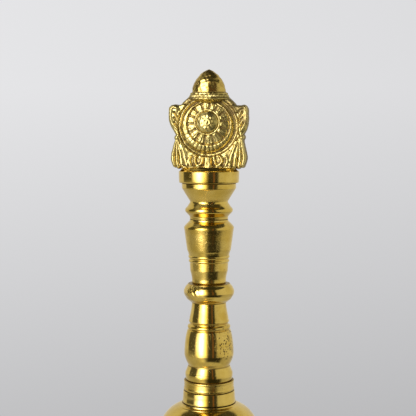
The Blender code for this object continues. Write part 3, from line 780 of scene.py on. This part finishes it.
def head_field(x, y, z):
    """The whole cast head above the band, in the finial's own heights."""
    flat_x, flat_z = np.broadcast_arrays(x[:, 0, :], z[:, 0, :])
    depth, outline = head_relief(flat_x, flat_z)
    depth, outline = depth[:, None, :], outline[:, None, :]
    aside = outline + EDGE + SIDE_CROWN * y ** 2 - soft_line(y, rise=SEAM_RIDGE, half=0.3)
    deep = np.abs(y) - depth + EDGE
    body = (np.minimum(np.maximum(aside, deep), 0)
            + np.hypot(np.maximum(aside, 0), np.maximum(deep, 0)) - EDGE)
    hole = np.maximum(np.hypot(x, y) - BORE_R, z - HOLE_TOP)
    whole = smooth_min(body, crown_field(x, y, z), 0.35) + cast_skin(x, y, z)
    return np.maximum(whole, -hole)


def stored(items, field, width, kind=float):
    """A field of all of a mesh's vertices or edges, one row each."""
    values = np.empty(len(items) * width, kind)
    items.foreach_get(field, values)
    return values.reshape(-1, width)


def mark_recesses(piece, rounds=20, full=0.11):
    """Store how deep each vertex lies in a hollow, as the float attribute recess."""
    mesh = piece.data
    verts, normals = stored(mesh.vertices, "co", 3), stored(mesh.vertices, "normal", 3)
    edges = stored(mesh.edges, "vertices", 2, int)
    ends, others = np.concatenate([edges, edges[:, ::-1]]).T
    count = len(verts)
    degree = np.maximum(np.bincount(ends, minlength=count), 1)
    settled = verts.copy()
    for _ in range(rounds):
        settled = np.stack([np.bincount(ends, settled[others, a], count) / degree
                            for a in range(3)], axis=1)
    hollow = ((settled - verts) * normals).sum(axis=1) / (full * MM)
    attribute = mesh.attributes.new("recess", "FLOAT", "POINT")
    attribute.data.foreach_set("value", np.clip(hollow, 0, 1).astype(np.float32))


def make_finial():
    cast = cast_brass("brass_cast")
    head = implicit("finial_head", head_field, *HEAD_BOX, CELL, cast)
    head.data.transform(Matrix.Translation((0, 0, FINIAL_Z * MM)))
    mark_recesses(head)
    put(head, "bell", "finial")


# ---- bell cup
def make_cup():
    look = turned_brass("brass_cup", 0.08, 0.19, lines=0.3, spots=0.5)
    top = CROWN_Z - SEAM
    ceiling = CROWN_Z - CROWN_THICK
    outer = [
        (MOUTH_R - 0.6, 0.02), (MOUTH_R - 0.1, 0.3, 0.1), (MOUTH_R - 0.02, 1.2, 0.05),
        (MOUTH_R - 0.1, 2.1, 0.05), (30.1, 2.9, 0.15), (29.4, 3.1), (29.3, 3.3),
        (26.6, 6.5, -0.25), (26.45, 6.7), (26.55, 7.0, 0.03), (26.4, 8.6, 0.4), (25.7, 8.95),
        (25.5, 9.1, -0.03), (20.7, 17.4, -0.42), (20.55, 17.55), (20.65, 17.8, 0.04),
        (20.3, 19.1, 0.25), (19.7, 19.35), (19.55, 19.6, -0.03), (16.6, 34.0, -0.65),
        (16.45, 40.0), (16.5, 40.2, -0.03), (16.8, 40.6), (16.9, 40.9, 0.04), (16.9, 42.5, 0.35),
        (16.3, 43.1), (16.15, 43.4, -0.04), (WAIST_R, 45.1),
        (12.6, dome_height(12.6), dome_sag(WAIST_R, 12.6)), (9.75, dome_height(9.75) - 0.25, 0.13),
        (9.6, dome_height(9.6) - 0.34, -0.03), (9.45, dome_height(9.45) - 0.20, 0.03),
        (8.75, top - 0.52, 0.03), (8.55, top - 0.42), (8.5, top)]
    crown = [(SPIGOT_R, top), (SPIGOT_R, top + SPIGOT_RISE), (BORE_R, top + SPIGOT_RISE),
             (BORE_R, ceiling)]
    inner = [(6.8, ceiling), (13.8, 44.65, -2.3), (14.3, 34.0), (18.3, 17.6, 0.9),
             (24.3, 6.6, 0.4), (27.5, 0.35, 0.2), (27.9, 0.02, 0.06)]
    cup = turned("bell_cup_turned", outer + crown + inner, look, seed=21, ripple=0.008,
                 segments=TURNED_SEGMENTS * 3 // 2)
    put(cup, "bell", "bell_cup")


def dome_height(radius):
    """Height of the cup's shoulder, an arc of DOME_R, at this radius."""
    from_centre = radius - WAIST_R + DOME_R
    return CROWN_Z - SHOULDER_DROP + math.sqrt(DOME_R ** 2 - from_centre ** 2)


def dome_sag(start, end):
    """How far the shoulder's arc stands proud of its chord between two radii."""
    half = math.hypot(start - end, dome_height(start) - dome_height(end)) / 2
    return DOME_R - math.sqrt(DOME_R ** 2 - half ** 2)


# ---- bolt, washer and nut
def wire(name, path, radius, normal, look, sides=24):
    """A closed ring of round wire along a flat path of points in millimetres."""
    path = np.array(path, float)
    along = np.roll(path, -1, 0) - np.roll(path, 1, 0)
    along /= np.linalg.norm(along, axis=1)[:, None]
    normal = np.array(normal, float)
    aside = np.cross(along, normal)
    turn = np.arange(sides) * math.tau / sides
    verts = (path[:, None, :] + radius * np.cos(turn)[None, :, None] * aside[:, None, :]
             + radius * np.sin(turn)[None, :, None] * normal)
    index = np.arange(len(path) * sides).reshape(len(path), sides)
    faces = []
    for here, there in zip(index, np.roll(index, -1, 0)):
        faces += np.stack([here, there, np.roll(there, -1), np.roll(here, -1)], 1).tolist()
    return mesh_object(name, verts.reshape(-1, 3), faces, look)


def circle(centre_z, radius, steps=96):
    """Points round Y on a circle about (0, 0, centre_z), from the X axis towards Z."""
    turns = [math.tau * k / steps for k in range(steps)]
    return [(radius * math.cos(a), 0, centre_z + radius * math.sin(a)) for a in turns]


def threaded(start, end, radius, pitch=0.7, depth=0.16):
    """Outline points of a stretch of thread, as rings between two heights."""
    points = []
    for k in range(round((end - start) / pitch)):
        points += [(radius - depth, start + k * pitch + 0.05),
                   (radius, start + (k + 0.45) * pitch),
                   (radius, start + (k + 0.6) * pitch)]
    return points


def make_bolt(steel):
    foot, top = EYE_TOP - 0.6, FINIAL_Z + SHANK_TOP
    plain_from = CROWN_Z + 1.0
    outline = ([(0, foot), (SHANK_R - 0.5, foot), (SHANK_R - 0.2, foot + 0.5)]
               + threaded(foot + 0.8, plain_from, SHANK_R)
               + [(SHANK_R, plain_from + 0.4), (SHANK_R, FINIAL_Z - 6.0)]
               + threaded(FINIAL_Z - 5.8, top - 0.5, SHANK_R)
               + [(SHANK_R - 0.5, top), (0, top)])
    shank = turned("eye_bolt_shank", outline, steel, ripple=0.0, segments=48, crease=30)
    put(shank, "bell", "eye_bolt")
    eye = wire("eye_bolt_eye", circle(EYE_Z, EYE_R), EYE_WIRE_R, (0, 1, 0), steel)
    put(eye, "bell", "eye_bolt")


def make_washer(steel):
    foot, top = heights("crown_washer")
    outline = [
        (5.8, foot), (6.0, foot + 0.15, 0.04), (6.0, top - 0.2), (5.85, top, 0.04),
        (BORE_R + 0.1, top), (BORE_R, top - 0.1), (BORE_R, foot + 0.15), (BORE_R + 0.15, foot)]
    washer = turned("crown_washer_turned", outline, steel, ripple=0.0, segments=96)
    put(washer, "bell", "crown_washer")


def make_nut(steel):
    foot, top = heights("lock_nut")
    middle, half = (foot + top) / 2, (top - foot) / 2

    def field(x, y, z):
        flats = np.full(np.broadcast(x, y).shape, -np.inf)
        for k in range(6):
            turn = math.radians(30 + 60 * k)
            across = x * math.cos(turn) + y * math.sin(turn)
            flats = np.maximum(flats, across - NUT_HALF_FLATS)
        out = np.hypot(x, y)
        ends = np.abs(z - middle) - half
        chamfer = (out - NUT_CHAMFER_R + ends * 1.7) / 1.97
        bore = BORE_R - out
        lead_in = (bore + 0.35 + ends) / 1.41
        return np.maximum.reduce(np.broadcast_arrays(flats, ends, chamfer, bore, lead_in))

    nut = implicit("lock_nut_hex", field, (-4.3, -4.3, foot - 0.3), (4.3, 4.3, top + 0.3),
                   NUT_CELL, steel, crease=25)
    put(nut, "bell", "lock_nut")


# ---- clapper
def make_clapper(steel):
    top, foot = EYE_WIRE_Z + EYE_WIRE_R + LINK_WIRE_R + RING_GAP, LINK_FOOT_Z
    path = []
    for centre, turn in ((top - LINK_R, 0), (foot + LINK_R, math.pi)):
        path += [(0, LINK_R * math.cos(a), centre + LINK_R * math.sin(a))
                 for a in np.linspace(turn, turn + math.pi, 33)]
    link = wire("clapper_link_ring", path, LINK_WIRE_R, (-1, 0, 0), steel, sides=20)
    put(link, "link", "clapper_link")

    loop_z = foot + LINK_WIRE_R + ROD_WIRE_R + RING_GAP - LOOP_R
    loop = wire("clapper_rod_loop", circle(loop_z, LOOP_R), ROD_WIRE_R, (0, 1, 0), steel)
    put(loop, "clapper", "clapper_rod")
    end, neck = heights("clapper_rod")[0], loop_z - LOOP_R
    outline = [(0, end), (ROD_R - 0.2, end), (ROD_R, end + 0.3), (ROD_R, neck - 1.2),
               (ROD_R - 0.15, neck - 0.3, 0.05), (0.6, neck + 0.2), (0, neck + 0.2)]
    rod = turned("clapper_rod_stem", outline, steel, ripple=0.004, segments=48)
    put(rod, "clapper", "clapper_rod")

    bob_look = turned_brass("brass_bob", 0.14, 0.30, lines=0.7, spots=0.8)
    base, top = heights("clapper_bob")
    neck_z = BOB_Z + math.sqrt(BOB_R ** 2 - BOB_NECK_R ** 2)
    bore_z = BOB_Z - BOB_BORE_DROP
    outline = [
        (0, base + 0.02), (0.9, base + 0.1, 0.02), (1.5, base + 0.55, 0.05),
        (BOB_R, BOB_Z - 0.3, 2.05), (BOB_R, BOB_Z + 0.3), (BOB_NECK_R, neck_z, 1.85),
        (2.45, top - 1.2, -0.12), (2.55, top - 0.95), (2.85, top - 0.6, 0.05), (2.8, top - 0.25),
        (2.5, top, 0.06), (1.45, top), (BOB_BORE_R, top - 0.1), (BOB_BORE_R, bore_z), (0, bore_z)]
    bob = turned("clapper_bob_turned", outline, bob_look, seed=31, ripple=0.012, segments=128)
    put(bob, "clapper", "clapper_bob")


# ---- stage, light and camera
CAMERA_TURN = math.radians(6)  # the camera stands this far from the front, towards +X
CAMERA_AWAY = 325.0  # horizontal distance from the axis
CAMERA_UP = 85.96  # height above the cup's crown
CAMERA_PITCH = math.radians(4.4)  # it looks down by this
CAMERA_LEFT = 0.31
LENS, FILM = 90.87, 36  # focal length and the picture's width on the sensor
TO_CAMERA = (math.sin(CAMERA_TURN), -math.cos(CAMERA_TURN), 0)
TO_RIGHT = (math.cos(CAMERA_TURN), math.sin(CAMERA_TURN), 0)

# Brightness of the room round the bell, one ring for each range of elevations:
# (lowest elevation, [(degrees to the right of the camera, colour), ...])
DARK = (0.052, 0.055, 0.064)
PALE = (0.71, 0.70, 0.63)
WARM = (0.30, 0.14, 0.07)
RIGHT = [
    (0, DARK), (16, DARK), (17.5, WARM), (20.5, WARM), (22, DARK), (33, DARK),
    (40, (0.62, 0.62, 0.60)), (70, (0.72, 0.72, 0.71)), (180, PALE)]
WINDOW = [
    (-71, 0.10), (-66, (0.9, 0.9, 1.0)), (-60, (1.8, 1.8, 2.1)), (-52, (3.2, 3.2, 4.2)),
    (-44, (7.0, 7.0, 9.0)), (-34, (8.5, 8.5, 11.5)), (-27, (5.5, 5.5, 7.2)),
    (-20, (2.6, 2.6, 2.2)), (-12, (1.4, 1.3, 0.9)), (-6, (0.40, 0.37, 0.26))]
LOW_WINDOW = [
    (-72, 0.42), (-62, 0.9), (-55, 1.6), (-47, (3.0, 3.0, 3.8)), (-38, (5.0, 5.0, 7.5)),
    (-30, (3.2, 3.2, 4.2)), (-21, (1.8, 1.75, 1.5)), (-12, (1.1, 1.05, 0.75)),
    (-5, (0.18, 0.17, 0.12))]
ROOM = [
    (-90, [(-180, 0.58), (180, 0.58)]),
    (-48, [(-180, 0.56), (-94, 0.48), (-67, 0.54), (-56, 0.64), (-45, 0.82), (-34, 0.98),
           (-24, 0.72), (-15, 0.26), (-6, 0.06), (-2, 0.030), (50, 0.028), (60, 0.10), (70, 0.44),
           (110, 0.54), (180, 0.56)]),
    (-17, [(-180, PALE), (-116, 0.50), (-105, 0.36)] + LOW_WINDOW + RIGHT),
    (-9, [(-180, PALE), (-116, PALE), (-110, 0.10)] + WINDOW + RIGHT),
    (45, [(-180, 0.10), (-120, 0.08), (-100, 0.40), (-80, 0.40), (-66, 0.20), (-50, 0.34),
          (-24, 0.34), (-8, 0.05), (180, 0.08)]),
    (66, [(-180, 0.04), (180, 0.04)]),
]
BLEND = 5  # degrees over which one ring fades into the next
# Backdrop seen by the camera: (elevation, brightness)
BACKDROP = [
    (-90, 0.56), (-40, 0.54), (-15.6, 0.512), (-7.6, 0.628), (2, 0.752), (7, 0.752), (30, 0.78),
    (90, 0.78)]
LEFT_SHARE, RIGHT_SHARE, LEAN_REACH = 1.06, 0.94, 0.3  # it is brighter on the left
BACKDROP_BLUE = 1.02
FADE_FROM, FLOOR_R = 70, 180  # the floor fades from here, to just inside its edge
FLOOR_DROP = 0.1  # under the mouth


def ramp(nodes, value, stops, start, end):
    """A colour ramp over a value that runs from start to end."""
    where = nodes.span(value, start, end, smooth=False)
    node = nodes.tree.nodes.new("ShaderNodeValToRGB")
    nodes.feed(node, {0: where})
    elements = node.color_ramp.elements
    elements.remove(elements[-1])
    for k, (place, color) in enumerate(stops):
        share = (place - start) / (end - start)
        element = elements[0] if k == 0 else elements.new(share)
        element.position = share
        if not isinstance(color, tuple):
            color = (color, color, color)
        element.color = color + (1,)
    return node.outputs[0]


def make_world():
    world = bpy.data.worlds.new("studio")
    bpy.context.scene.world = world
    world.use_nodes = True
    tree = world.node_tree
    nodes = Nodes(tree)
    tree.nodes.remove(tree.nodes["Background"])
    direction = nodes.add("ShaderNodeTexCoord")
    right = nodes.vector("DOT_PRODUCT", direction, TO_RIGHT, output=1)
    near = nodes.vector("DOT_PRODUCT", direction, TO_CAMERA, output=1)
    turn = nodes.math("DEGREES", nodes.math("ARCTAN2", right, near))
    up = nodes.vector("DOT_PRODUCT", direction, (0, 0, 1), output=1)
    elevation = nodes.math("DEGREES", nodes.math("ARCSINE", up))

    seen = None
    for lowest, ring in ROOM:
        color = ramp(nodes, turn, ring, -180, 180)
        above = nodes.span(elevation, lowest - BLEND / 2, lowest + BLEND / 2)
        seen = color if seen is None else nodes.mix(above, seen, color)

    grey = ramp(nodes, elevation, BACKDROP, -90, 90)
    lean = nodes.span(right, -LEAN_REACH, LEAN_REACH, LEFT_SHARE, RIGHT_SHARE, smooth=False)
    grey = nodes.mix(1.0, grey, nodes.add("ShaderNodeCombineColor", {
        0: lean, 1: lean, 2: nodes.times(lean, BACKDROP_BLUE)}), "MULTIPLY")
    path = tree.nodes.new("ShaderNodeLightPath")
    color = nodes.mix(path.outputs["Is Camera Ray"], seen, grey)
    shade = nodes.add("ShaderNodeBackground", {"Color": color})
    output = next(node for node in tree.nodes if node.type == "OUTPUT_WORLD")
    nodes.feed(output, {"Surface": shade})


def make_floor():
    """A pale floor that fades into the backdrop and is clear from beneath."""
    made, nodes, shader, mm = new_material("floor_pale")
    away = nodes.vector("LENGTH", mm, output=1)
    fade = nodes.span(away, FADE_FROM, FLOOR_R - 5, 1.0, 0.0)
    beneath = nodes.add("ShaderNodeNewGeometry", output=6)
    fade = nodes.times(fade, nodes.math("SUBTRACT", 1.0, beneath))
    nodes.feed(shader, {"Base Color": FLOOR, "Roughness": 0.9, "Alpha": fade})
    rim = [(x, z, -FLOOR_DROP) for x, _, z in circle(0, FLOOR_R)]
    floor = mesh_object("floor", rim, [list(range(len(rim)))], made)
    floor.visible_glossy = False


def make_camera():
    data = bpy.data.cameras.new("camera")
    data.lens = LENS
    data.sensor_width = FILM
    data.clip_start, data.clip_end = 0.01, 100
    camera = bpy.data.objects.new("camera", data)
    bpy.context.collection.objects.link(camera)
    place = (Vector(TO_CAMERA) * CAMERA_AWAY - Vector(TO_RIGHT) * CAMERA_LEFT
             + Vector((0, 0, CROWN_Z + CAMERA_UP)))
    camera.location = place * MM
    camera.rotation_euler = (math.pi / 2 - CAMERA_PITCH, 0, CAMERA_TURN)
    bpy.context.scene.camera = camera


def main():
    make_camera()
    make_handle()
    make_finial()
    make_cup()
    steel = plain_steel("steel_drawn")
    make_bolt(steel)
    make_washer(steel)
    make_nut(steel)
    make_clapper(steel)
    make_world()
    make_floor()
    bpy.context.scene.view_settings.view_transform = "Standard"


main()
